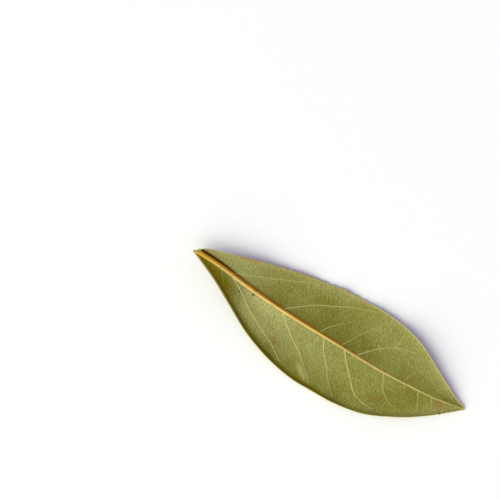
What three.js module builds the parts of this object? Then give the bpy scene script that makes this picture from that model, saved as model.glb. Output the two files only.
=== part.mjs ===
// A dried bay leaf, lying on a surface with its underside up.
// Millimetres. The leaf runs along X from its cut base end to its tip, and +Z is up.
// The origin is the middle of the leaf's box, on the surface that it lies on.

import * as THREE from "three";

// Driving dimensions

const LENGTH = 80;
const BLADE_THICKNESS = 0.32;
const PRESSED_DEPTH = 0.12; // how far the surface below flattens the two troughs that the leaf lies on
const TROUGH_AT = 0.68; // where each half is lowest, as a share of the way out to its margin
const LEFT_CURL_POWER = 4; // how closely each half's curl keeps to its margin
const RIGHT_CURL_POWER = 9;

// Each curve is a list of [distance from the base end, value]. Sideways values are measured from the
// straight line between the base end and the tip, and +Y is to the left on the way to the tip.

const MIDRIB = [
  [0, 0.25], [8, -0.05], [16, -1], [22, -1.52], [30, -1.93],
  [44, -2.2], [57, -2.36], [65, -1.98], [72, -1.43], [80, 0],
];
const LEFT_MARGIN = [
  [0, 0.75], [4, 2.35], [9, 3.85], [18, 6.5], [30, 9.33], [38, 10.8],
  [46, 11.2], [55, 10.55], [61.5, 8.95], [70, 4.68], [76, 1.72], [80, 0.2],
];
const RIGHT_MARGIN = [
  [0, -0.55], [4, -2.2], [9, -4.42], [15, -7.72], [22, -11.5], [30, -14.35], [38, -15.87],
  [44, -15.93], [50, -15.77], [58, -14.32], [66, -10.65], [72, -6.83], [77, -2.8], [80, -0.2],
];

// The leaf bows lengthwise: its base end stands clear of the surface and its tip bends down to it.
const BOW = [
  [0, 2.9], [12, 1.65], [26, 0.35], [40, 0], [60, 0.35], [67, 0.55], [73, 0.35], [80, -0.75],
];

// The slope of each half where it leaves the midrib: a valley near the base, a ridge further on.
const LEFT_SLOPE = [
  [0, 0.1], [12, 0], [19, -0.12], [27, -0.24], [36, -0.25],
  [50, -0.24], [62, -0.08], [68, -0.02], [74, -0.05], [80, -0.2],
];
const RIGHT_SLOPE = [
  [0, 0.4], [9, 0.5], [14, 0.25], [19, -0.08], [26, -0.2], [34, -0.22],
  [46, -0.245], [56, -0.14], [70, -0.06], [80, -0.25],
];

// How far each margin curls up.
const LEFT_CURL = [
  [0, 0.05], [8, 0.3], [20, 0.15], [40, 0.3], [52, 0.65], [62, 1.45], [70, 0.95], [80, 0],
];
const RIGHT_CURL = [
  [0, 0.1], [6, 0.7], [12, 1.3], [18, 0.95], [25, 1.05], [31, 0.95],
  [38, 0.55], [48, 0.45], [56, 0.6], [62, 0.5], [72, 0.15], [80, 0],
];

// The midrib stands up from the blade. Its width and height fall away towards the tip.
const RIB_HALF_WIDTH = [[0, 0.62], [10, 0.6], [30, 0.47], [50, 0.33], [70, 0.2], [80, 0.1]];
const RIB_HEIGHT = [
  [0, 0.72], [10, 0.55], [22, 0.36], [36, 0.25], [50, 0.15], [70, 0.07], [80, 0.03],
];

// Mesh steps
const STEPS_ALONG = 60;
const HALF_BLADE_COLUMNS = 7;
const HALF_RIB_COLUMNS = 2;
const RIB_SHOULDER = 0.75; // height of the rib half way down its side, as a share of its full height

// A smooth curve through the listed points.
function curve(points) {
  const at = points.map(([distance]) => distance);
  const values = points.map(([, value]) => value);
  const spline = new THREE.CubicInterpolant(at, values, 1);
  return (distance) => spline.evaluate(distance)[0];
}

const midrib = curve(MIDRIB);
const bow = curve(BOW);
const ribHalfWidth = curve(RIB_HALF_WIDTH);
const ribHeight = curve(RIB_HEIGHT);
const left = {
  margin: curve(LEFT_MARGIN),
  slope: curve(LEFT_SLOPE),
  curl: curve(LEFT_CURL),
  curlPower: LEFT_CURL_POWER,
};
const right = {
  margin: curve(RIGHT_MARGIN),
  slope: curve(RIGHT_SLOPE),
  curl: curve(RIGHT_CURL),
  curlPower: RIGHT_CURL_POWER,
};

// Height of the blade's middle surface. share runs from 0 at the midrib to 1 at the margin.
function bladeHeight(distance, half, share) {
  const halfWidth = Math.abs(half.margin(distance) - midrib(distance));
  const fall = half.slope(distance) * halfWidth * (share - share ** 2 / (2 * TROUGH_AT));
  const curl = half.curl(distance) * share ** half.curlPower;
  return bow(distance) + fall + curl;
}

// A point of the leaf. column counts sideways from the midrib, and onTop says which face it is on.
function leafPoint(distance, column, onTop) {
  const half = column > 0 ? left : right;
  const steps = Math.abs(column);
  const middle = midrib(distance);
  const width = Math.abs(half.margin(distance) - middle);
  const ribWidth = Math.min(ribHalfWidth(distance), width * 0.8);
  let sideways = (ribWidth * steps) / HALF_RIB_COLUMNS;
  let ridge = 0;
  if (steps > HALF_RIB_COLUMNS) {
    sideways = ribWidth + ((width - ribWidth) * (steps - HALF_RIB_COLUMNS)) / HALF_BLADE_COLUMNS;
  } else if (steps < HALF_RIB_COLUMNS) {
    ridge = ribHeight(distance) * (steps === 0 ? 1 : RIB_SHOULDER);
  }
  const height = bladeHeight(distance, half, sideways / width);
  const face = onTop ? BLADE_THICKNESS / 2 + ridge : -BLADE_THICKNESS / 2;
  return new THREE.Vector3(distance, middle + Math.sign(column) * sideways, height + face);
}

// A flat box with many steps is bent into the leaf.
function leafGeometry() {
  const halfColumns = HALF_RIB_COLUMNS + HALF_BLADE_COLUMNS;
  const geometry = new THREE.BoxGeometry(LENGTH, 2, 1, STEPS_ALONG, 2 * halfColumns, 1);
  const position = geometry.attributes.position;
  for (let i = 0; i < position.count; i++) {
    const distance = THREE.MathUtils.clamp(position.getX(i) + LENGTH / 2, 0, LENGTH);
    const column = Math.round(position.getY(i) * halfColumns);
    const point = leafPoint(distance, column, position.getZ(i) > 0);
    position.setXYZ(i, point.x, point.y, point.z);
  }
  layDown(geometry);
  return geometry;
}

// The leaf is centred over the origin and pressed on the surface at Z = 0.
function layDown(geometry) {
  geometry.computeBoundingBox();
  const middle = geometry.boundingBox.getCenter(new THREE.Vector3());
  geometry.translate(-middle.x, -middle.y, -geometry.boundingBox.min.z - PRESSED_DEPTH);
  const position = geometry.attributes.position;
  for (let i = 0; i < position.count; i++) {
    position.setZ(i, Math.max(0, position.getZ(i)));
  }
  geometry.computeVertexNormals();
}

const driedLeaf = new THREE.MeshStandardMaterial({ color: 0x93924b, roughness: 0.62, metalness: 0 });

const leaf = new THREE.Mesh(leafGeometry(), driedLeaf);
leaf.name = "bay_leaf";

const bayLeaf = new THREE.Group();
bayLeaf.add(leaf);

export default bayLeaf;
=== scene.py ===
"""A dried bay leaf, lying with its underside up on a plain pale surface.

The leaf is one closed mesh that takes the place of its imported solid.
"""

from functools import reduce
from math import cos, pi, radians, sin

import bmesh
import bpy
import numpy as np
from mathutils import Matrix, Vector


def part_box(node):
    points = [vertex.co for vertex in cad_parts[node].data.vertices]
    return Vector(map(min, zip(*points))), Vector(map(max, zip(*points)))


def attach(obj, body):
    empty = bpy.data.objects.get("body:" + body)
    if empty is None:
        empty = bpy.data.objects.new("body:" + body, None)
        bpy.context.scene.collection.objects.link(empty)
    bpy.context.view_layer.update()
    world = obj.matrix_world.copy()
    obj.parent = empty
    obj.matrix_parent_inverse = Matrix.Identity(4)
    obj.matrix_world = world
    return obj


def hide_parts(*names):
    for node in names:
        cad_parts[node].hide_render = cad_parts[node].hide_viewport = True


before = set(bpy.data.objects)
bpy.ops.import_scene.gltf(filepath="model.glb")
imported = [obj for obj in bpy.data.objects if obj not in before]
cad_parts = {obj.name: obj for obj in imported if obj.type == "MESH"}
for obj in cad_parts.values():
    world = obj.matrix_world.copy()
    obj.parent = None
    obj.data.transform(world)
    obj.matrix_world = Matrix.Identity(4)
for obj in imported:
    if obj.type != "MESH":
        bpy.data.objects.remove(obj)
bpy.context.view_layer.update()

bl_info = {
    "name": "Dried Bay Leaf",
    "version": (1, 0, 0),
    "blender": (4, 5, 0),
    "location": "3D View > Sidebar > Bay Leaf",
    "description": "Grows one dried bay leaf, underside up, and lights it on a pale surface",
    "category": "Add Mesh",
}

NODE = "bay_leaf"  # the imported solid
PIECE = "dried_bay_leaf"  # the mesh that takes its place
MM = 0.001

# ------------------------------------------------------------------ the leaf's shape, in millimetres
# Each curve is a list of [distance from the base end, value]. Sideways values are measured from the
# straight line between the base end and the tip, and +Y is to the left on the way to the tip.

LENGTH = 80.0
TROUGH_AT = 0.68  # where each half is lowest, as a share of the way out to its margin
LEFT_CURL_POWER = 4  # how closely each half's curl keeps to its margin
RIGHT_CURL_POWER = 9
MIDRIB = [
    [0, 0.25], [8, -0.05], [16, -1.0], [22, -1.52], [30, -1.93],
    [44, -2.2], [57, -2.36], [65, -1.98], [72, -1.43], [80, 0],
]
LEFT_MARGIN = [
    [0, 0.75], [4, 2.35], [9, 3.85], [18, 6.5], [30, 9.33], [38, 10.8], [46, 11.2],
    [55, 10.55], [61.5, 8.95], [70, 4.68], [76, 1.72], [80, 0.2],
]
RIGHT_MARGIN = [
    [0, -0.55], [4, -2.2], [9, -4.42], [15, -7.72], [22, -11.5], [30, -14.35], [38, -15.87], [44, -15.93],
    [50, -15.77], [58, -14.32], [66, -10.65], [72, -6.83], [77, -2.8], [80, -0.2],
]
# The lengthwise bow, then the slope of each half where it leaves the midrib and how far its margin curls up
BOW = [[0, 2.9], [12, 1.65], [26, 0.35], [40, 0], [60, 0.35], [67, 0.55], [73, 0.35], [80, -0.75]]
LEFT_SLOPE = [
    [0, 0.1], [12, 0], [19, -0.12], [27, -0.24], [36, -0.25],
    [50, -0.24], [62, -0.08], [68, -0.02], [74, -0.05], [80, -0.2],
]
RIGHT_SLOPE = [
    [0, 0.4], [9, 0.5], [14, 0.25], [19, -0.08], [26, -0.2], [34, -0.22],
    [46, -0.245], [56, -0.14], [70, -0.06], [80, -0.25],
]
LEFT_CURL = [[0, 0.05], [8, 0.3], [20, 0.15], [40, 0.3], [52, 0.65], [62, 1.45], [70, 0.95], [80, 0]]
RIGHT_CURL = [
    [0, 0.1], [6, 0.7], [12, 1.3], [18, 0.95], [25, 1.05], [31, 0.95], [38, 0.55],
    [48, 0.45], [56, 0.6], [62, 0.5], [72, 0.15], [80, 0],
]
# The midrib stands up from the blade and fades away towards the tip.
RIB_HALF_WIDTH = [[0, 0.62], [10, 0.6], [30, 0.47], [50, 0.33], [70, 0.2], [80, 0.1]]
RIB_HEIGHT = [[0, 0.72], [10, 0.55], [22, 0.36], [36, 0.25], [50, 0.15], [70, 0.07], [80, 0.03]]
CUT_END = (0.6, 1.15)  # where the midrib's cut end starts and stands at full height
CUT_SLANT = 1.0  # how much further back the blade is cut on the left of the midrib

# Side veins, from the midrib outwards: strength, then the points that each passes through.
LEFT_VEINS = [
    (0.6, [(12.4, 0.3), (16, 1.7), (20.7, 3.7), (24.7, 5.4), (29.2, 7.4), (32.1, 8.6)]),
    (0.75, [(27.3, -1.4), (30.2, 0.8), (33.5, 3.3), (38.2, 5.7), (42.7, 7.9), (48.2, 9.9)]),
    (0.65, [(38.4, -1.6), (39.5, 0.2), (41.1, 1.9), (42.6, 3.3)]),
    (0.55, [(44.7, -1.8), (46.4, 0.8), (47.9, 3.3), (49.7, 5.8), (51.2, 7.6)]),
    (0.8, [(49.4, -2.1), (51.6, 0.4), (53.8, 2.5), (57, 4.6)]),
    (0.6, [(57, 4.6), (58.7, 5.2), (61.7, 5.8)]),
    (0.6, [(52.8, 3.1), (54.3, 1.6)]),
    (0.5, [(57, 4.7), (57.2, 6.3), (57.1, 8.6)]),
    (0.2, [(59, -1.8), (59.5, 0.5), (60.3, 3.5)]),
    (0.35, [(62.9, -1.8), (63.9, 0.9), (65.9, 3.7)]),
]
RIGHT_VEINS = [
    (0.4, [(8.9, -0.9), (9.9, -2.3), (11.2, -4.1)]),
    (0.95, [(12.3, -1.2), (14.8, -2.4), (19, -5.4), (24.2, -8.3), (29, -10.6), (32.2, -12.8),
            (33.6, -13.5)]),
    (0.95, [(27.9, -2.4), (30.2, -4.5), (33.2, -6.9), (36.3, -8.8), (38, -10.4), (40.4, -12.2),
            (42.4, -14.4)]),
    (0.35, [(36, -2.4), (37.1, -4.6), (38, -6.1), (39.6, -8.6)]),
    (0.8, [(39.9, -2.5), (41.6, -5.5), (44.1, -8.3), (46, -11), (49.3, -14.1)]),
    (1.0, [(46, -2.6), (48.2, -5.2), (51, -8.1), (53.4, -10.6), (56.2, -11.7), (59.5, -11.9)]),
    (0.6, [(57.6, -2.5), (58.9, -5.2), (59.9, -6.6), (62.2, -8.2), (65.6, -9.1)]),
    (0.4, [(63.6, -2.3), (65, -5.2)]),
    (0.5, [(67.4, -2.1), (68.7, -4.4), (70, -6.6)]),
    (0.55, [(71.2, -1.6), (72.8, -4.4)]),
]

# Rust marks and dark specks on the underside: place, radius and depth of colour, from 0 to 1
RUST_MARKS = [
    ((13.4, 5.2), 1.3, 0.7), ((11.8, 4.8), 1.2, 0.6), ((15.2, 5.8), 1.2, 0.6), ((29.0, -9.4), 1.1, 0.4),
    ((30.0, -9.9), 0.8, 0.35), ((46.6, 6.5), 1.8, 0.25), ((32.7, -4.2), 1.2, 0.2), ((38, -3.2), 0.8, 0.3),
    ((55.5, -11.9), 1.0, 0.6), ((54.4, -0.8), 1.5, 0.6), ((58.8, -8.9), 1.9, 0.45), ((57.4, -9.7), 1.0, 0.4),
    ((43.2, -10.2), 0.9, 0.3), ((63.4, -1.6), 0.6, 0.5), ((73.6, -2.2), 1.7, 0.4), ((71.4, 2.2), 1.6, 0.3),
    ((74.7, -0.5), 0.6, 0.9),
]
SPECKS = [
    ((18.9, -2.3), 0.45, 1.0), ((18.9, -1.0), 0.34, 0.9), ((15.4, -3.4), 0.36, 1.0),
    ((26.5, -1.15), 0.25, 0.4), ((74.3, -0.6), 0.2, 0.8), ((55.0, -1.9), 0.2, 0.5),
    ((75.0, -4.2), 0.4, 0.8), ((31.9, -13.0), 0.3, 0.4),
]


def smooth_curve(points):
    """A smooth curve through the listed points, as a function of distance."""
    at, value = np.array(points, float).T
    secant = np.diff(value) / np.diff(at)
    slope = np.concatenate([[secant[0]], (secant[1:] + secant[:-1]) / 2, [secant[-1]]])

    def read(distance):
        i = np.clip(np.searchsorted(at, distance, side="right") - 1, 0, len(at) - 2)
        step = at[i + 1] - at[i]
        t = (distance - at[i]) / step
        rise = value[i + 1] - value[i]
        start, end = slope[i] * step, slope[i + 1] * step
        return value[i] + t * (start + t * (3 * rise - 2 * start - end + t * (start + end - 2 * rise)))

    return read


midrib_at = smooth_curve(MIDRIB)
bow_at = smooth_curve(BOW)
rib_half_width_at = smooth_curve(RIB_HALF_WIDTH)
rib_height_at = smooth_curve(RIB_HEIGHT)


class Half:
    """One half of the blade."""

    def __init__(self, margin, slope, curl, curl_power):
        self.margin = smooth_curve(margin)
        self.slope = smooth_curve(slope)
        self.curl = smooth_curve(curl)
        self.curl_power = curl_power

    def width(self, distance):
        return np.abs(self.margin(distance) - midrib_at(distance))

    def height(self, distance, share):
        """Height of the blade's middle surface. share is 0 at the midrib and 1 at the margin."""
        fall = self.slope(distance) * self.width(distance) * (share - share**2 / (2 * TROUGH_AT))
        return bow_at(distance) + fall + self.curl(distance) * share**self.curl_power


LEFT = Half(LEFT_MARGIN, LEFT_SLOPE, LEFT_CURL, LEFT_CURL_POWER)
RIGHT = Half(RIGHT_MARGIN, RIGHT_SLOPE, RIGHT_CURL, RIGHT_CURL_POWER)


def ramp(value, low, high):
    """0 below low, 1 above high, smooth between."""
    t = np.clip((value - low) / (high - low), 0, 1)
    return t * t * (3 - 2 * t)


def hump(gap, breadth):
    """A smooth hump, 1 where gap is 0."""
    return np.exp(-((gap / breadth) ** 2))


def vein_line(points, steps=26):
    """Evenly numbered points of a smooth line through the given ones."""
    marks = np.arange(len(points), dtype=float)
    places = np.array(points, float)
    t = np.linspace(0, marks[-1], steps)
    columns = [smooth_curve(np.column_stack([marks, places[:, k]]))(t) for k in (0, 1)]
    return np.column_stack(columns)


def nearest_on_line(x, y, line):
    """Distance of each place from the line, and how far along the line that is, from 0 to 1."""
    best = np.full(x.shape, np.inf)
    where = np.zeros(x.shape)
    for k in range(len(line) - 1):
        ax, ay = line[k]
        bx, by = line[k + 1] - line[k]
        t = np.clip(((x - ax) * bx + (y - ay) * by) / (bx * bx + by * by), 0, 1)
        gap = np.hypot(x - ax - t * bx, y - ay - t * by)
        closer = gap < best
        best[closer] = gap[closer]
        where[closer] = (k + t[closer]) / (len(line) - 1)
    return best, where


# ------------------------------------------------------------------ settings that a user would change


class LeafShape(bpy.types.PropertyGroup):
    """Sizes of the leaf."""

    thickness: bpy.props.FloatProperty(
        name="Blade thickness", description="Thickness of the blade between its veins",
        default=0.32 * MM, min=0.1 * MM, max=1.0 * MM, precision=6, unit="LENGTH")
    pressed: bpy.props.FloatProperty(
        name="Pressed depth",
        description="How far the surface below flattens the troughs that the leaf lies on",
        default=0.2 * MM, min=0.0, max=0.5 * MM, precision=6, unit="LENGTH")
    vein_height: bpy.props.FloatProperty(
        name="Vein height", description="How far the strongest side vein stands up from the blade",
        default=0.11 * MM, min=0.0, max=0.5 * MM, precision=6, unit="LENGTH")
    vein_width: bpy.props.FloatProperty(
        name="Vein half-width", description="Half the width of a side vein where it leaves the midrib",
        default=0.155 * MM, min=0.05 * MM, max=1.0 * MM, precision=6, unit="LENGTH")
    quilting: bpy.props.FloatProperty(
        name="Quilting", description="How far the blade sinks between its veins",
        default=0.15 * MM, min=0.0, max=0.5 * MM, precision=6, unit="LENGTH")
    steps_along: bpy.props.IntProperty(
        name="Steps along", description="Mesh steps from the base to the tip", default=236, min=40, max=400)
    steps_across: bpy.props.IntProperty(
        name="Steps across", description="Mesh steps from margin to margin", default=104, min=20, max=200)


class LeafFinish(bpy.types.PropertyGroup):
    """Colours of the leaf."""

    blade: bpy.props.FloatVectorProperty(
        name="Blade", description="Main colour of the underside",
        subtype="COLOR", size=3, min=0.0, max=1.0, default=(0.236, 0.230, 0.049))
    # Darker tone of the underside, in random patches, and also painted shade on the left half beside the
    # midrib
    blade_dark_and_shade: bpy.props.FloatVectorProperty(
        name="Blade, darker", description="Darker patches of the underside",
        subtype="COLOR", size=3, min=0.0, max=1.0, default=(0.182, 0.172, 0.024))
    # Paler colour: mostly painted light where the blade faces the lamp, partly a paler tone
    blade_lit_pale: bpy.props.FloatVectorProperty(
        name="Blade, paler", description="Bloom beside the midrib",
        subtype="COLOR", size=3, min=0.0, max=1.0, default=(0.302, 0.300, 0.098))
    # Painted light: the palest colour, laid where the blade beside the midrib and the fold near the base
    # face the lamp
    painted_light_palest: bpy.props.FloatVectorProperty(
        name="Blade, frosted", description="Palest bloom, close to the midrib and on the fold near the base",
        subtype="COLOR", size=3, min=0.0, max=1.0, default=(0.41, 0.395, 0.145))
    vein: bpy.props.FloatVectorProperty(
        name="Side veins", description="Colour of the side veins",
        subtype="COLOR", size=3, min=0.0, max=1.0, default=(0.52, 0.515, 0.19))
    margin: bpy.props.FloatVectorProperty(
        name="Margin", description="Colour of the hard pale edge",
        subtype="COLOR", size=3, min=0.0, max=1.0, default=(0.62, 0.565, 0.285))
    rib_base: bpy.props.FloatVectorProperty(
        name="Midrib, base", description="Colour of the midrib near its cut end",
        subtype="COLOR", size=3, min=0.0, max=1.0, default=(0.67, 0.395, 0.066))
    rib_tip: bpy.props.FloatVectorProperty(
        name="Midrib, tip", description="Colour of the midrib towards the tip",
        subtype="COLOR", size=3, min=0.0, max=1.0, default=(0.45, 0.39, 0.14))
    # Darker brown of the midrib: partly real colour, partly painted shade on the left flank that faces away
    # from the lamp
    rib_brown_and_shade: bpy.props.FloatVectorProperty(
        name="Midrib, flank", description="Colour of the midrib's left flank",
        subtype="COLOR", size=3, min=0.0, max=1.0, default=(0.42, 0.21, 0.02))
    # Partly painted shade: the left half of the tip slopes away from the lamp, and this darker brown also
    # stands for its browning
    tip: bpy.props.FloatVectorProperty(
        name="Tip", description="Colour of the browned left side of the tip",
        subtype="COLOR", size=3, min=0.0, max=1.0, default=(0.165, 0.130, 0.022))
    # Painted highlight: the pale stripe laid along the midrib's right flank, the side that faces the lamp
    rib_highlight: bpy.props.FloatVectorProperty(
        name="Midrib, crest", description="Colour of the midrib's pale crest",
        subtype="COLOR", size=3, min=0.0, max=1.0, default=(0.665, 0.475, 0.17))
    # Partly real brown and partly painted shadow: the dark line where the midrib casts its shadow to its
    # left near the cut end
    rib_foot_brown_and_shadow: bpy.props.FloatVectorProperty(
        name="Midrib, foot", description="Colour of the dark line along the midrib's left foot",
        subtype="COLOR", size=3, min=0.0, max=1.0, default=(0.10, 0.03, 0.0005))
    stain: bpy.props.FloatVectorProperty(
        name="Stain", description="Colour of the blade right beside the midrib",
        subtype="COLOR", size=3, min=0.0, max=1.0, default=(0.235, 0.148, 0.006))
    margin_worn: bpy.props.FloatVectorProperty(
        name="Margin, worn", description="Colour of the left margin where it is browned",
        subtype="COLOR", size=3, min=0.0, max=1.0, default=(0.36, 0.30, 0.12))
    # Painted light: a light cream laid on the right margin's curl near the base, which faces away from the
    # lamp
    margin_lit_fold: bpy.props.FloatVectorProperty(
        name="Margin, folded", description="Colour of the right margin where it curls up near the base",
        subtype="COLOR", size=3, min=0.0, max=1.0, default=(0.70, 0.60, 0.19))
    margin_singed: bpy.props.FloatVectorProperty(
        name="Margin, singed", description="Colour of the orange stretch of the left margin",
        subtype="COLOR", size=3, min=0.0, max=1.0, default=(0.44, 0.20, 0.05))
    # Painted shade with a warm brown tint: darkens the curled right margin near the cut end, where it faces
    # away from the lamp
    corner: bpy.props.FloatVectorProperty(
        name="Browned corner", description="Colour of the curled margin right of the cut end",
        subtype="COLOR", size=3, min=0.0, max=1.0, default=(0.155, 0.125, 0.002))
    upper: bpy.props.FloatVectorProperty(
        name="Upper face", description="Colour of the glossier face that the leaf lies on",
        subtype="COLOR", size=3, min=0.0, max=1.0, default=(0.120, 0.135, 0.035))
    speck: bpy.props.FloatVectorProperty(
        name="Specks", description="Colour of the few dark specks",
        subtype="COLOR", size=3, min=0.0, max=1.0, default=(0.035, 0.012, 0.003))
    rust: bpy.props.FloatVectorProperty(
        name="Rust marks", description="Colour of the small rusty marks",
        subtype="COLOR", size=3, min=0.0, max=1.0, default=(0.25, 0.11, 0.014))


class StageLook(bpy.types.PropertyGroup):
    """Light, surface and framing."""

    surface: bpy.props.FloatVectorProperty(
        name="Surface", description="Colour of the surface under the leaf",
        subtype="COLOR", size=3, min=0.0, max=1.0, default=(0.95, 0.95, 0.96))
    key_power: bpy.props.FloatProperty(
        name="Key light", description="Power of the large soft light", default=354, min=0.0, unit="POWER")
    key_height: bpy.props.FloatProperty(
        name="Key height", description="How far above the horizon the key light stands",
        default=radians(42), min=0.0, max=radians(90), subtype="ANGLE")
    fill: bpy.props.FloatProperty(
        name="Fill", description="Strength of the even light from all round", default=0.54, min=0.0)
    picture_width: bpy.props.FloatProperty(
        name="Picture width", description="Width of the surface that the camera sees",
        default=127.24 * MM, min=10 * MM, unit="LENGTH")
    leaf_turn: bpy.props.FloatProperty(
        name="Leaf turn", description="How far the tip points below the picture's right",
        default=radians(30.6), subtype="ANGLE")


# ------------------------------------------------------------------ the leaf's mesh, in millimetres

# Mesh steps. They lie closer together at the midrib and at the margins.
RIB_SHARE = 0.14  # share of each half's steps that the midrib's side takes
RIB_REACH = 1.5  # how far out those go, in half-widths of the midrib
BEAD_SHARE = 0.09  # share that the hard margin takes
BEAD_WIDTH = 0.6
BEAD_CROWDING = 1.6  # how much closer the steps lie at the very edge
FINE_REACH = 0.42  # steps this close to a side vein are halved once
FINEST_REACH = 0.22  # and this close twice
FINE_EDGE = 0.45  # steps this close to the margin are halved once
FINE_END = 2.2  # the steps round the cut end are halved as far along as this

# The hard margin
EDGE_THICKNESS = 0.45  # thickness right at the margin, as a share of the blade's
EDGE_ROUNDING = 0.2
LEFT_BEAD_HEIGHT = 0.05
RIGHT_BEAD_HEIGHT = 0.12
BEAD_MIDDLE = 0.2  # how far in from the edge the bead is highest
BEAD_HALF_WIDTH = 0.13

# The midrib's cross-section, and the side veins
RIB_FOOT = 1.2  # how far out the midrib's foot lies, in its half-widths
RIB_FLATNESS = 2.4  # higher is flatter on top
RIB_SHOULDER = 0.75  # lower is fuller at the sides
RIB_GROOVE = 0.10  # depth of the groove under the midrib on the upper face
VEIN_COLOUR_WIDTH = 0.85  # width of a side vein's colour, as a share of its ridge's
VEIN_FADE = 0.65  # share of its height that a side vein loses on its way out
VEIN_NARROWING = 0.3  # share of its width that it loses
SOFT_VEIN_WIDTH = 0.42  # half-width of the side veins on the smooth upper face
SOFT_VEIN_HEIGHT = 0.3  # their height there, as a share of the other face's
VEIN_VALLEY = 1.6  # how far from a vein the blade has sunk most of the way
FLAT_EDGE = 1.5  # the blade sinks less than this close to the edge

# One small blister near the right margin
BLISTER_PLACE = (39.3, -12.6)
BLISTER_LENGTH, BLISTER_WIDTH, BLISTER_HEIGHT = 2.3, 0.95, 0.36
BLISTER_TURN = (0.8, 0.6)  # cosine and sine of the angle that it lies at


def slab(rows, columns):
    """A closed slab, rows by columns steps, from corner (0, 0, 0) to corner (1, 1, 1)."""
    bm = bmesh.new()
    bmesh.ops.create_grid(bm, x_segments=rows, y_segments=columns, size=0.5)
    grown = bmesh.ops.extrude_face_region(bm, geom=bm.faces[:] + bm.edges[:], use_keep_orig=True)
    raised = [part for part in grown["geom"] if isinstance(part, bmesh.types.BMVert)]
    bmesh.ops.translate(bm, verts=raised, vec=(0, 0, 1))
    bmesh.ops.translate(bm, verts=bm.verts[:], vec=(0.5, 0.5, 0))
    bmesh.ops.recalc_face_normals(bm, faces=bm.faces[:])
    for edge in bm.edges:
        start, end = edge.verts[0].co, edge.verts[1].co
        edge.smooth = not (max(start.x, end.x) < 1e-6 and start.z == end.z)
    return bm


def nibbles(distance):
    """How far the left margin stands out. It has fine uneven scallops, two nicks and a worn stretch."""
    uneven = 0.5 + 0.5 * np.sin(distance * 0.9 + 2.2 * np.sin(distance * 0.37))
    scallops = 0.1 * np.sin(distance * 4.1 + 2.4 * np.sin(distance * 1.3))
    scallops += 0.1 * uneven * np.sin(distance * 8.3 + 2.6 * np.sin(distance * 0.83))
    nicks = sum(0.24 * hump(distance - place, breadth) for place, breadth in ((34.6, 0.6), (43.1, 0.7)))
    worn = 0.17 * ramp(distance, 26, 36)
    return (scallops - worn) * ramp(distance, 9, 13) * (1 - ramp(distance, 46, 52)) - nicks


def sideways(across, distance, half, waver):
    """Distance of each step from the midrib's middle, and the half's width there."""
    step = np.abs(across)
    width = half.width(distance)
    foot = np.minimum(RIB_REACH * rib_half_width_at(distance), 0.6 * width)
    bead = np.minimum(BEAD_WIDTH, 0.25 * width)
    inner = foot * step / RIB_SHARE
    blade = foot + (width - bead - foot) * (step - RIB_SHARE) / (1 - RIB_SHARE - BEAD_SHARE)
    left_over = np.clip((1 - step) / BEAD_SHARE, 0, 1)
    outer = width - bead * left_over**BEAD_CROWDING
    place = np.where(step < RIB_SHARE, inner, np.where(step < 1 - BEAD_SHARE, blade, outer))
    return place + waver * ramp(step, 0.55, 1.0), width


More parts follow.
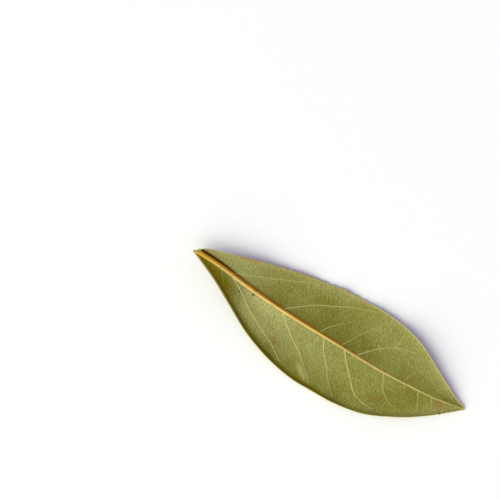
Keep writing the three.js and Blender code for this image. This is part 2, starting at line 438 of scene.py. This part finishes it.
class Surface:
    """Place, height and finish masks of every step of the leaf, in millimetres."""

    def __init__(self, along, across, shape):
        self.distance = along * LENGTH
        on_left = across > 0
        share = np.zeros_like(across)
        self.height = np.zeros_like(across)
        self.y = np.zeros_like(across)
        self.edge = np.zeros_like(across)
        for half, chosen, sign in ((LEFT, on_left, 1), (RIGHT, ~on_left, -1)):
            d = self.distance[chosen]
            waver = nibbles(d) if sign > 0 else np.zeros_like(d)
            place, width = sideways(across[chosen], d, half, waver)
            share[chosen] = place / width
            self.y[chosen] = midrib_at(d) + sign * place
            self.height[chosen] = half.height(d, place / width)
            self.edge[chosen] = np.maximum(width + waver - place, 0)
        self.share = share  # of the way from the midrib to the margin
        self.on_left = on_left
        self.aside = np.abs(self.y - midrib_at(self.distance))
        self.read_veins(shape)
        self.ripple()

    def read_veins(self, shape):
        """Ridges and colour masks of the side veins, and how far the blade sinks between them."""
        self.vein_ridge = np.zeros_like(self.y)
        self.vein_mask = np.zeros_like(self.y)
        self.soft_veins = np.zeros_like(self.y)
        self.vein_gap = np.full_like(self.y, np.inf)
        nearest = self.aside
        for strength, points in LEFT_VEINS + RIGHT_VEINS:
            gap, where = nearest_on_line(self.distance, self.y, vein_line(points))
            fade = strength * (1 - VEIN_FADE * where)
            half_width = shape.vein_width / MM * (1 - VEIN_NARROWING * where)
            self.vein_ridge = np.maximum(self.vein_ridge, fade * hump(gap, half_width))
            colour = strength * (1 - VEIN_NARROWING * where**2) * hump(gap, VEIN_COLOUR_WIDTH * half_width)
            self.vein_mask = np.maximum(self.vein_mask, colour)
            self.soft_veins = np.maximum(self.soft_veins, fade * hump(gap, SOFT_VEIN_WIDTH))
            self.vein_gap = np.minimum(self.vein_gap, gap)
            nearest = np.minimum(nearest, gap + 2.5 * (1 - fade))  # a weak vein holds the blade less
        self.sink = 1 - np.exp(-nearest / VEIN_VALLEY)

    def ripple(self):
        """Long low waves, strongest at the margins, and one small blister."""
        d, side = self.distance, self.aside
        wave = 0.16 * np.sin(0.62 * (d - 0.55 * side) + 0.6) + 0.07 * np.sin(1.31 * (d - 0.4 * side) + 2.0)
        self.height += wave * self.share**2 * ramp(d, 6, 16) * (1 - ramp(d, 68, 78))
        left_wave = 0.05 * np.sin(1.3 * d + 1.4 * np.sin(0.5 * d)) * ramp(d, 8, 14) * (1 - ramp(d, 44, 52))
        self.height += np.where(self.on_left, left_wave * self.share**5, 0)

        ahead, beside = d - BLISTER_PLACE[0], self.y - BLISTER_PLACE[1]
        lengthwise = BLISTER_TURN[0] * ahead - BLISTER_TURN[1] * beside
        crosswise = BLISTER_TURN[1] * ahead + BLISTER_TURN[0] * beside
        gap = np.hypot(lengthwise / BLISTER_LENGTH, crosswise / BLISTER_WIDTH)
        self.blister = np.exp(-1.2 * gap**2.6)
        self.height += BLISTER_HEIGHT * self.blister


def steps_of(bm):
    """Place along, place across and face of every vertex of the slab."""
    places = np.array([vert.co for vert in bm.verts])
    return places[:, 0], 2 * places[:, 1] - 1, places[:, 2] > 0.5


def refine(bm, shape, vein_reach, edge_reach):
    """Halve the mesh steps near the side veins, the margins and the cut end."""
    along, across, top = steps_of(bm)
    surface = Surface(along, across, shape)
    fine = top & ((surface.vein_gap < vein_reach) | (surface.distance < FINE_END))
    fine |= surface.edge < edge_reach
    bm.verts.index_update()
    near = [edge for edge in bm.edges if fine[edge.verts[0].index] and fine[edge.verts[1].index]]
    bmesh.ops.subdivide_edges(bm, edges=near, cuts=1, use_grid_fill=True)
    bmesh.ops.triangulate(bm, faces=[face for face in bm.faces if len(face.verts) > 4])


def rank(place):
    """One number for a place in the slab, to sort by: upwards, then along, then across."""
    return (round(place.z * 10) * 1e7 + round(place.x * 1e6)) * 1e7 + round(place.y * 1e6)


def sort_by_place(bm):
    """Give the mesh the same order in every run, whatever order the operators left it in."""
    bm.verts.sort(key=lambda vert: rank(vert.co))
    bm.edges.sort(key=lambda edge: rank((edge.verts[0].co + edge.verts[1].co) / 2))
    bm.faces.sort(key=lambda face: rank(face.calc_center_median()))


def leaf_mesh(shape):
    """The whole leaf as one closed mesh, with its finish masks as attributes."""
    bm = slab(shape.steps_along, shape.steps_across)
    refine(bm, shape, FINE_REACH, FINE_EDGE)
    refine(bm, shape, FINEST_REACH, edge_reach=-1)
    sort_by_place(bm)
    along, across, top = steps_of(bm)
    surface = Surface(along, across, shape)
    mesh = bpy.data.meshes.new(PIECE)
    bm.to_mesh(mesh)
    bm.free()

    sign = np.where(surface.on_left, 1, -1)
    rounding = np.sqrt(1 - (1 - np.clip(surface.edge / EDGE_ROUNDING, 0, 1)) ** 2)
    half_thickness = shape.thickness / MM / 2 * (EDGE_THICKNESS + (1 - EDGE_THICKNESS) * rounding)
    rib_width = rib_half_width_at(surface.distance)
    rib = np.clip(1 - (surface.aside / (RIB_FOOT * rib_width)) ** RIB_FLATNESS, 0, 1) ** RIB_SHOULDER
    rib *= ramp(surface.distance, *CUT_END)
    off_rib = 1 - rib
    height = surface.height - shape.quilting / MM * surface.sink * off_rib * ramp(surface.edge, 0, FLAT_EDGE)

    ridge = rib_height_at(surface.distance) * rib
    veins = shape.vein_height / MM * surface.vein_ridge * off_rib
    bead = np.where(surface.on_left, LEFT_BEAD_HEIGHT, RIGHT_BEAD_HEIGHT)
    bead = bead * hump(surface.edge - BEAD_MIDDLE, BEAD_HALF_WIDTH)
    groove = RIB_GROOVE * hump(surface.aside, 0.7 * rib_width + 0.1)
    soft_veins = SOFT_VEIN_HEIGHT * shape.vein_height / MM * surface.soft_veins * off_rib
    raised = height + half_thickness + ridge + veins + bead
    z = np.where(top, raised, height - half_thickness + groove + soft_veins)

    low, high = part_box(NODE)
    middle = [(low[k] + high[k]) / 2 / MM for k in (0, 1)]
    slant = CUT_SLANT * ramp(surface.y, -0.4, 0.6) * hump(surface.distance, 2)
    x = surface.distance - LENGTH / 2 + middle[0] + slant
    y = surface.y - (surface.y.max() + surface.y.min()) / 2 + middle[1]
    z = np.maximum(z - z.min() - shape.pressed / MM, 0) + low[2] / MM
    mesh.vertices.foreach_set("co", (np.column_stack([x, y, z]) * MM).ravel())

    write_mask(mesh, "rib", rib)
    write_mask(mesh, "rib_side", np.clip(sign * surface.aside / rib_width, -3, 3))
    write_mask(mesh, "vein", np.where(top, surface.vein_mask, surface.soft_veins) * off_rib)
    write_mask(mesh, "edge", surface.edge * MM)
    write_mask(mesh, "run", surface.distance / LENGTH)
    write_mask(mesh, "side", sign * surface.share)
    write_mask(mesh, "underside", top.astype(float))
    write_mask(mesh, "rust", marks(surface, RUST_MARKS))
    write_mask(mesh, "speck", marks(surface, SPECKS))
    write_mask(mesh, "blister", surface.blister)
    mesh.polygons.foreach_set("use_smooth", np.ones(len(mesh.polygons), bool))
    mesh.update()
    return mesh


def marks(surface, listed):
    """How deep the listed marks are at each step."""
    depth = np.zeros_like(surface.y)
    for (x, y), radius, strength in listed:
        gap = np.hypot(surface.distance - x, surface.y - y)
        depth = np.maximum(depth, strength * (1 - ramp(gap, 0.3 * radius, radius)))
    return depth


def write_mask(mesh, name, values):
    mask = mesh.attributes.new(name, "FLOAT", "POINT")
    mask.data.foreach_set("value", np.asarray(values, np.float32))


# ------------------------------------------------------------------ the leaf's finish
#
# The finish reads these masks, which are attributes of the mesh:
#   run        0 at the base end, 1 at the tip
#   side       -1 at the right margin, 0 at the midrib, 1 at the left margin
#   edge       distance from the nearer margin, in metres
#   rib        1 on the midrib's crest, 0 off the midrib
#   rib_side   distance from the midrib's middle in its half-widths, negative on the right
#   vein, rust, speck, blister    how strongly each of them shows
#   underside  1 on the face that looks up, 0 on the face that the leaf lies on
# spread(mask, a, b) grows smoothly from 0 where the mask is a to 1 where it is b.

MASKS = ("rib", "rib_side", "vein", "edge", "run", "side", "underside", "rust", "speck", "blister")

STREAK_LEAN = radians(30.6)  # how far the fine streaks lean back from square across the leaf
STREAK_SIZE = (0.19 * MM, 0.45 * MM, 2 * MM)
FLECK_SIZE = (0.3 * MM, 0.5 * MM, 3 * MM)
COMBING_SPACING = 0.58 * MM
COARSE_NET_SIZE = 1.7 * MM
FINE_NET_SIZE = 0.6 * MM
GRAIN_SIZE = 0.4 * MM
CLOUD_SIZE = 11 * MM
MOTTLING_SIZE = 2.6 * MM
FIBRE_SIZE = 0.5 * MM
FIBRE_STRETCH = 0.12
BANDS_IN_UNIT = 20 / (2 * pi)  # bands that a wave texture of scale 1 lays in one unit of length


class Finish:
    """A short way to lay out shader nodes."""

    def __init__(self, name):
        self.material = bpy.data.materials.new(name)
        self.material.use_nodes = True
        self.nodes = self.material.node_tree.nodes
        self.links = self.material.node_tree.links
        self.shader = self.nodes["Principled BSDF"]
        self.place = self.nodes.new("ShaderNodeTexCoord").outputs["Object"]

    def put(self, socket, value):
        """Link an output to the socket, or set the socket to a value."""
        if isinstance(value, bpy.types.NodeSocket):
            self.links.new(value, socket)
        elif socket.type == "RGBA":
            socket.default_value = (*value, 1)
        else:
            socket.default_value = value

    def mask(self, name):
        node = self.nodes.new("ShaderNodeAttribute")
        node.attribute_name = name
        return node.outputs["Fac"]

    def math(self, operation, *values):
        node = self.nodes.new("ShaderNodeMath")
        node.operation = operation
        for socket, value in zip(node.inputs, values):
            self.put(socket, value)
        return node.outputs[0]

    def both(self, *shares):
        """The product of several shares."""
        return reduce(lambda first, second: self.math("MULTIPLY", first, second), shares)

    def strongest(self, *shares):
        return reduce(lambda first, second: self.math("MAXIMUM", first, second), shares)

    def spread(self, value, low, high, to_low=0.0, to_high=1.0):
        """to_low where value is low, to_high where it is high, smooth between."""
        node = self.nodes.new("ShaderNodeMapRange")
        node.interpolation_type = "SMOOTHSTEP"
        for name, given in (("Value", value), ("From Min", low), ("From Max", high),
                            ("To Min", to_low), ("To Max", to_high)):
            self.put(node.inputs[name], given)
        return node.outputs["Result"]

    def blend(self, share, first, second, how="MIX"):
        node = self.nodes.new("ShaderNodeMix")
        node.data_type = "RGBA"
        node.blend_type = how
        self.put(node.inputs[0], share)
        self.put(node.inputs[6], first)
        self.put(node.inputs[7], second)
        return node.outputs[2]

    def layered(self, ground, *layers):
        """The ground colour with each layer's share of its colour over it."""
        for share, colour in layers:
            ground = self.blend(share, ground, colour)
        return ground

    def joined(self, red, green, blue):
        node = self.nodes.new("ShaderNodeCombineColor")
        for socket, value in zip(node.inputs, (red, green, blue)):
            self.put(socket, value)
        return node.outputs["Color"]

    def stretched(self, x, y, z, turn=0.0):
        """Places turned about the vertical, then scaled along each axis."""
        turned = self.nodes.new("ShaderNodeMapping")
        self.put(turned.inputs["Vector"], self.place)
        turned.inputs["Rotation"].default_value = (0, 0, turn)
        node = self.nodes.new("ShaderNodeMapping")
        self.put(node.inputs["Vector"], turned.outputs["Vector"])
        node.inputs["Scale"].default_value = (x, y, z)
        return node.outputs["Vector"]

    def noise(self, size, detail, rough, place=None):
        """Soft noise with patches of about the given size, in metres."""
        node = self.nodes.new("ShaderNodeTexNoise")
        self.put(node.inputs["Vector"], place or self.place)
        node.inputs["Scale"].default_value = 1 / size
        node.inputs["Detail"].default_value = detail
        node.inputs["Roughness"].default_value = rough
        return node.outputs["Fac"]

    def long_noise(self, size, turn):
        """Smooth noise with patches of the given length, width and depth, turned about the vertical."""
        return self.noise(1.0, 0.0, 0.5, self.stretched(*(1 / extent for extent in size), turn))

    def waves(self, spacing, waver, place):
        """Wavering parallel bands with the given spacing, in metres."""
        node = self.nodes.new("ShaderNodeTexWave")
        self.put(node.inputs["Vector"], place)
        node.inputs["Scale"].default_value = 1 / BANDS_IN_UNIT / spacing
        node.inputs["Distortion"].default_value = waver
        node.inputs["Detail"].default_value = 1.0
        node.inputs["Detail Scale"].default_value = 1.6
        return node.outputs["Fac"]

    def net(self, size, place):
        """1 on the lines of a fine net with meshes of about the given size, 0 between them."""
        node = self.nodes.new("ShaderNodeTexVoronoi")
        node.feature = "DISTANCE_TO_EDGE"
        self.put(node.inputs["Vector"], place)
        node.inputs["Scale"].default_value = 1 / size
        return self.spread(node.outputs["Distance"], 0.0, 0.16, 1.0, 0.0)

    def bump(self, height, distance, strength, normal=None):
        node = self.nodes.new("ShaderNodeBump")
        self.put(node.inputs["Height"], height)
        node.inputs["Distance"].default_value = distance
        node.inputs["Strength"].default_value = strength
        if normal is not None:
            self.put(node.inputs["Normal"], normal)
        return node.outputs["Normal"]


class DriedLeaf(Finish):
    """The leaf's masks and textures."""

    def __init__(self, name):
        super().__init__(name)
        for mask in MASKS:
            setattr(self, mask, self.mask(mask))
        self.streaks = self.long_noise(STREAK_SIZE, -STREAK_LEAN)
        self.flecks = self.long_noise(FLECK_SIZE, -STREAK_LEAN)
        self.combing = self.waves(COMBING_SPACING, 7.0, self.stretched(1.0, 1.7, 0.2, -STREAK_LEAN))
        along_streaks = self.stretched(1.0, 0.6, 0.2, -STREAK_LEAN)
        self.coarse_net = self.net(COARSE_NET_SIZE, along_streaks)
        self.fine_net = self.net(FINE_NET_SIZE, along_streaks)
        self.grain = self.noise(GRAIN_SIZE, 2.0, 0.6)
        self.clouds = self.noise(CLOUD_SIZE, 3.0, 0.5)
        self.mottling = self.noise(MOTTLING_SIZE, 3.0, 0.6)
        self.fibres = self.noise(FIBRE_SIZE, 3.0, 0.6, self.stretched(FIBRE_STRETCH, 1.0, 1.0))


def lit_and_paler(f):
    """Where the blade is painted paler, mostly painted light where it faces the lamp and partly a paler
    tone: on both sides of the midrib, and on the left margin further on.
    """
    right = f.both(
        f.spread(f.side, -0.95, -0.3), f.spread(f.side, 0.0, -0.04),
        f.spread(f.run, 0.12, 0.2), f.spread(f.run, 0.75, 0.34, 0.0, 0.9))
    left = f.both(f.spread(f.side, 0.02, 0.15), f.spread(f.run, 0.34, 0.16, 0.0, 0.85))
    left_margin = f.both(
        f.spread(f.side, 0.6, 0.9, 0.0, 0.6), f.spread(f.run, 0.3, 0.4), f.spread(f.run, 0.58, 0.5))
    far_left = f.both(f.spread(f.side, 0.2, 0.6, 0.0, 0.5), f.spread(f.run, 0.5, 0.7))
    return f.strongest(right, left, left_margin, far_left)


def browned(f):
    """Where the right margin is darkened with a brown tint: painted shade on its curled corner at the base
    and on a narrow band inside it, where the curl faces away from the lamp.
    """
    # Painted shade, brown-tinted, on the curled corner and on the band inside the margin
    corner = f.both(f.spread(f.side, -0.1, -0.55), f.spread(f.run, 0.235, 0.13))
    reach = f.spread(f.run, 0.13, 0.26, 3.0 * MM, 1.5 * MM)
    shaded_band = f.both(
        f.spread(f.edge, reach, 0.7 * MM), f.spread(f.side, -0.35, -0.5), f.spread(f.run, 0.82, 0.55))
    return f.strongest(corner, shaded_band)


def combed(f):
    """The fine uneven streaks, as a tint that multiplies the blade's colour."""
    tone = f.both(
        f.spread(f.streaks, 0.2, 0.8, 0.82, 1.18), f.spread(f.grain, 0.3, 0.7, 0.97, 1.03),
        f.spread(f.combing, 0.0, 1.0, 0.86, 1.14))
    warmth = f.spread(f.flecks, 0.3, 0.7, 0.95, 1.05)
    return f.joined(f.both(tone, warmth), tone, f.both(tone, tone))


def blade_colour(f, colours):
    """The underside between the veins, with painted light and painted shade where its slopes face towards or
    away from the lamp.
    """
    # Painted light beside the midrib on the right and on the fold near the base, where the blade faces the
    # lamp
    lit_beside_rib = f.both(
        f.spread(f.side, -0.5, -0.12), f.spread(f.side, 0.0, -0.04),
        f.spread(f.run, 0.17, 0.25), f.spread(f.run, 0.45, 0.28, 0.0, 0.75))
    lit_fold_near_base = f.both(
        f.spread(f.side, -0.4, -0.55), f.spread(f.edge, 1.3 * MM, 2.6 * MM),
        f.spread(f.run, 0.18, 0.24), f.spread(f.run, 0.4, 0.3, 0.0, 0.35))
    # Painted shade: the left half beside the midrib is darkened where it slopes away from the lamp
    painted_shade_left = f.both(
        f.spread(f.side, 0.55, 0.05), f.spread(f.side, -0.01, 0.01),
        f.spread(f.run, 0.17, 0.26), f.spread(f.run, 0.72, 0.35, 0.0, 0.3))
    tanned_left = f.both(f.spread(f.edge, 1.6 * MM, 0.3 * MM, 0.0, 0.35), f.spread(f.side, 0.4, 0.6))
    # At the tip, the right half is painted paler tan and the left half darker brown: partly real colour,
    # partly painted light and painted shade where the halves face towards and away from the lamp
    lit_tanned_tip = f.both(f.spread(f.side, -0.02, -0.3), f.spread(f.run, 0.86, 0.97, 0.0, 0.45))
    shaded_brown_tip = f.both(f.spread(f.side, 0.05, 0.3), f.spread(f.run, 0.9, 0.985, 0.0, 0.7))
    blade = f.layered(
        f.blend(f.spread(f.clouds, 0.35, 0.65), colours.blade_dark_and_shade, colours.blade),
        (f.spread(f.mottling, 0.4, 0.8, 0.0, 0.22), colours.blade_dark_and_shade),
        (lit_and_paler(f), colours.blade_lit_pale),
        (lit_beside_rib, colours.painted_light_palest),
        (lit_fold_near_base, colours.painted_light_palest),
        (f.both(f.fine_net, 0.03), colours.vein),
        (f.both(f.coarse_net, 0.06), colours.vein),
        (painted_shade_left, colours.blade_dark_and_shade),
        (browned(f), colours.corner),
        (tanned_left, colours.margin_worn),
        (lit_tanned_tip, colours.margin_worn),
        (shaded_brown_tip, colours.tip),
        (f.both(f.blister, 0.5), colours.vein))
    return f.blend(1.0, blade, combed(f), "MULTIPLY")


def stained(f, colours, blade):
    """The blade with its stains beside the midrib on both sides, a dark line along the midrib's left foot
    that is partly brown and partly the painted shadow of the midrib, and the old rust marks.
    """
    left_of_rib = f.both(
        f.spread(f.rib_side, 2.3, 1.2), f.spread(f.rib_side, 0.6, 0.9),
        f.spread(f.mottling, 0.3, 0.6, 0.5, 1.0), f.spread(f.run, 0.75, 0.35, 0.0, 0.9))
    # Painted shadow of the midrib, partly real brown, along its left foot near the cut end
    rib_shadow_and_brown = f.both(
        f.spread(f.rib_side, 2.0, 1.3), f.spread(f.rib_side, 0.4, 0.8), f.spread(f.run, 0.2, 0.08))
    right_of_rib = f.both(
        f.spread(f.rib_side, -2.0, -1.1), f.spread(f.rib_side, -0.6, -0.9),
        f.spread(f.mottling, 0.3, 0.6, 0.2, 1.0), f.spread(f.run, 0.7, 0.1, 0.0, 0.5))
    rusted = f.both(f.rust, f.spread(f.mottling, 0.35, 0.6, 0.2, 0.85))
    return f.layered(
        blade, (left_of_rib, colours.stain), (rib_shadow_and_brown, colours.rib_foot_brown_and_shadow), (right_of_rib, colours.stain),
        (rusted, colours.rust))


def rib_colour(f, colours):
    """The midrib: orange, with a painted highlight along its right flank that faces the lamp, a darker left
    flank that is partly painted shade, and a dark left foot near the cut end that is partly brown and partly
    the painted shadow of the midrib.
    """
    # Painted highlight: a pale stripe set off the middle, towards the lit right flank
    off_highlight = f.math("ABSOLUTE", f.math("ADD", f.rib_side, 0.62))
    highlight_width = f.spread(f.run, 0.08, 0.5, 0.7, 1.3)
    crest = f.both(
        f.spread(off_highlight, highlight_width, 0.1), f.spread(f.run, 0.05, 0.16), f.spread(f.run, 0.85, 0.25))
    # The left flank faces away from the lamp: its darker brown is partly painted shade
    shaded_left_flank = f.both(f.spread(f.rib_side, -0.4, 0.3), f.spread(f.run, 0.95, 0.45))
    # Painted shadow of the midrib, partly real brown, at its left foot near the cut end
    left_foot_brown_and_shadow = f.both(f.spread(f.rib_side, 0.35, 0.9), f.spread(f.run, 0.25, 0.08))
    rib = f.layered(
        f.blend(f.spread(f.run, 0.35, 0.6), colours.rib_base, colours.rib_tip),
        (f.spread(f.run, 0.09, 0.03, 0.0, 0.4), colours.rib_brown_and_shade),
        (crest, colours.rib_highlight),
        (shaded_left_flank, colours.rib_brown_and_shade),
        (left_foot_brown_and_shadow, colours.rib_foot_brown_and_shadow))
    return f.blend(1.0, rib, f.spread(f.fibres, 0.3, 0.7, 0.84, 1.12), "MULTIPLY")


def margin_colour(f, colours):
    """The hard edge: pale, browned on the left, and a light cream where the right margin curls up, which is
    painted light on that curl where it faces away from the lamp.
    """
    worn = f.both(
        f.spread(f.side, 0.4, 0.6), f.spread(f.run, 0.65, 0.45, 0.25, 1.0),
        f.spread(f.mottling, 0.35, 0.6, 0.6, 0.95))
    folded = f.both(f.spread(f.side, -0.4, -0.6), f.spread(f.run, 0.5, 0.3, 0.0, 0.8))
    return f.layered(
        f.blend(worn, colours.margin, colours.margin_worn),
        (folded, colours.margin_lit_fold))


def underside_colour(f, colours, margin):
    # Painted light: the pale edge is widened where the right margin curls up near the base
    lit_edge_reach = f.both(f.spread(f.side, -0.4, -0.6), f.spread(f.run, 0.4, 0.16), 0.2 * MM)
    hard_edge = f.spread(f.math("SUBTRACT", f.edge, lit_edge_reach), 0.1 * MM, 0.34 * MM, 0.95, 0.0)
    return f.layered(
        stained(f, colours, blade_colour(f, colours)),
        (f.spread(f.vein, 0.05, 0.85, 0.0, 0.95), colours.vein),
        (hard_edge, margin),
        (f.both(f.rust, f.spread(f.edge, 0.7 * MM, 0.3 * MM)), colours.margin_singed),
        (f.spread(f.rib, 0.04, 0.34), rib_colour(f, colours)),
        # Painted light: the cut end is painted pale where its slope faces away from the lamp
        (f.spread(f.run, 0.017, 0.008, 0.0, 0.8), colours.vein),  # the pale cut end
        (f.speck, colours.speck))


def upper_colour(f, colours, margin):
    return f.layered(
        f.blend(f.spread(f.clouds, 0.3, 0.7, 0.0, 0.6), colours.upper, colours.blade_dark_and_shade),
        (f.both(f.fine_net, 0.18), colours.blade),
        (f.both(f.vein, 0.3), colours.vein),
        (f.spread(f.rib, 0.5, 0.95, 0.0, 0.8), colours.rib_tip),
        (f.spread(f.edge, 0.08 * MM, 0.2 * MM, 0.85, 0.0), margin))


def leaf_material(colours):
    """Dry matt underside with pale veins, and the darker, glossier upper face."""
    f = DriedLeaf("dried_leaf")
    margin = margin_colour(f, colours)
    colour = f.blend(f.underside, upper_colour(f, colours, margin), underside_colour(f, colours, margin))
    f.put(f.shader.inputs["Base Color"], colour)
    dull = f.spread(f.grain, 0.3, 0.7, 0.54, 0.68)
    shine = f.spread(f.underside, 1.0, 0.0, 0.0, 0.2)
    f.put(f.shader.inputs["Roughness"], f.math("SUBTRACT", dull, shine))
    f.put(f.shader.inputs["Specular IOR Level"], f.spread(f.underside, 0.0, 1.0, 0.5, 0.03))

    off_rib = f.math("SUBTRACT", 1.0, f.rib)
    normal = f.bump(f.both(f.math("ADD", f.fine_net, f.coarse_net), off_rib), 0.02 * MM, 0.6)
    normal = f.bump(f.streaks, 0.06 * MM, 0.6, normal)
    normal = f.bump(f.grain, 0.03 * MM, 0.5, normal)
    normal = f.bump(f.both(f.fibres, f.rib), 0.10 * MM, 0.6, normal)
    f.put(f.shader.inputs["Normal"], normal)
    return f.material


# ------------------------------------------------------------------ operators


class BAYLEAF_OT_grow_leaf(bpy.types.Operator):
    """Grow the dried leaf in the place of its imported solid"""

    bl_idname = "bay_leaf.grow_leaf"
    bl_label = "Grow Leaf"

    def execute(self, context):
        scene = context.scene
        mesh = leaf_mesh(scene.bay_leaf_shape)
        mesh.materials.append(leaf_material(scene.bay_leaf_finish))
        leaf = bpy.data.objects.new(PIECE, mesh)
        scene.collection.objects.link(leaf)
        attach(leaf, "root")
        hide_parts(NODE)
        return {"FINISHED"}


class BAYLEAF_OT_set_stage(bpy.types.Operator):
    """Lay the pale surface, set the lights and point the camera"""

    bl_idname = "bay_leaf.set_stage"
    bl_label = "Set Stage"

    def execute(self, context):
        look = context.scene.bay_leaf_stage
        lay_surface(context.scene, look)
        light_room(context.scene, look)
        add_key_light(context.scene, look)
        point_camera(context.scene, look)
        return {"FINISHED"}


# ------------------------------------------------------------------ the stage, in metres

SURFACE_SIZE = 16.0
KEY_SIZE = 7.0
KEY_DISTANCE = 5.0
KEY_COLOUR = (0.955, 1.0, 0.77)
ROOM_COLOUR = (0.82, 0.76, 1.0, 1)
LENS = 250  # millimetres, as is the sensor's width
SENSOR = 36
NEAREST_SEEN = 0.01
LEAF_RIGHT = 18.93 * MM  # how far the leaf's middle lies right of the picture's middle
LEAF_BELOW = 22.2 * MM


def lay_surface(scene, look):
    bm = bmesh.new()
    bmesh.ops.create_grid(bm, x_segments=1, y_segments=1, size=SURFACE_SIZE / 2)
    mesh = bpy.data.meshes.new("surface")
    bm.to_mesh(mesh)
    bm.free()
    f = Finish("pale_surface")
    f.put(f.shader.inputs["Base Color"], look.surface)
    f.shader.inputs["Roughness"].default_value = 0.9
    mesh.materials.append(f.material)
    surface = bpy.data.objects.new("surface", mesh)
    scene.collection.objects.link(surface)


def light_room(scene, look):
    world = bpy.data.worlds.new("studio")
    world.use_nodes = True
    background = world.node_tree.nodes["Background"]
    background.inputs["Color"].default_value = ROOM_COLOUR
    background.inputs["Strength"].default_value = look.fill
    scene.world = world
    scene.view_settings.view_transform = "Standard"


def picture_axes(look):
    """The picture's right and up, on the surface."""
    turn = look.leaf_turn
    return np.array([cos(turn), sin(turn), 0]), np.array([-sin(turn), cos(turn), 0])


def add_key_light(scene, look):
    """A large soft light beyond the picture's lower left corner."""
    right, up = picture_axes(look)
    level = (-right - up) / 2**0.5
    place = KEY_DISTANCE * (cos(look.key_height) * level + sin(look.key_height) * np.array([0, 0, 1]))
    light = bpy.data.lights.new("key", "AREA")
    light.shape = "DISK"
    light.size = KEY_SIZE
    light.energy = look.key_power
    light.color = KEY_COLOUR
    key = bpy.data.objects.new("key", light)
    key.location = place
    key.rotation_mode = "QUATERNION"
    key.rotation_quaternion = Vector(place).to_track_quat("Z", "Y")
    scene.collection.objects.link(key)


def point_camera(scene, look):
    """A camera straight above, far enough away to see the leaf without perspective."""
    right, up = picture_axes(look)
    low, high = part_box(NODE)
    middle = np.array([(low[0] + high[0]) / 2, (low[1] + high[1]) / 2, 0])
    aim = middle - LEAF_RIGHT * right + LEAF_BELOW * up
    lens = bpy.data.cameras.new("camera")
    lens.lens = LENS
    lens.sensor_width = SENSOR
    lens.clip_start = NEAREST_SEEN
    camera = bpy.data.objects.new("camera", lens)
    camera.location = aim + np.array([0, 0, look.picture_width * LENS / SENSOR])
    camera.rotation_euler = (0, 0, look.leaf_turn)
    scene.collection.objects.link(camera)
    scene.camera = camera


class VIEW3D_PT_bay_leaf(bpy.types.Panel):
    """Settings and steps of the bay leaf"""

    bl_label = "Bay Leaf"
    bl_space_type = "VIEW_3D"
    bl_region_type = "UI"
    bl_category = "Bay Leaf"

    def draw(self, context):
        layout = self.layout
        groups = (
            (context.scene.bay_leaf_shape, BAYLEAF_OT_grow_leaf),
            (context.scene.bay_leaf_finish, None),
            (context.scene.bay_leaf_stage, BAYLEAF_OT_set_stage),
        )
        for group, operator in groups:
            box = layout.box()
            for name in group.__annotations__:
                box.prop(group, name)
            if operator:
                box.operator(operator.bl_idname)


SETTINGS = (
    ("bay_leaf_shape", LeafShape),
    ("bay_leaf_finish", LeafFinish),
    ("bay_leaf_stage", StageLook),
)
CLASSES = (LeafShape, LeafFinish, StageLook, BAYLEAF_OT_grow_leaf, BAYLEAF_OT_set_stage, VIEW3D_PT_bay_leaf)


def register():
    for cls in CLASSES:
        bpy.utils.register_class(cls)
    for name, group in SETTINGS:
        setattr(bpy.types.Scene, name, bpy.props.PointerProperty(type=group))


def unregister():
    for name, _ in SETTINGS:
        delattr(bpy.types.Scene, name)
    for cls in reversed(CLASSES):
        bpy.utils.unregister_class(cls)


def main():
    register()
    bpy.ops.bay_leaf.set_stage()
    bpy.ops.bay_leaf.grow_leaf()


if __name__ == "__main__":
    main()
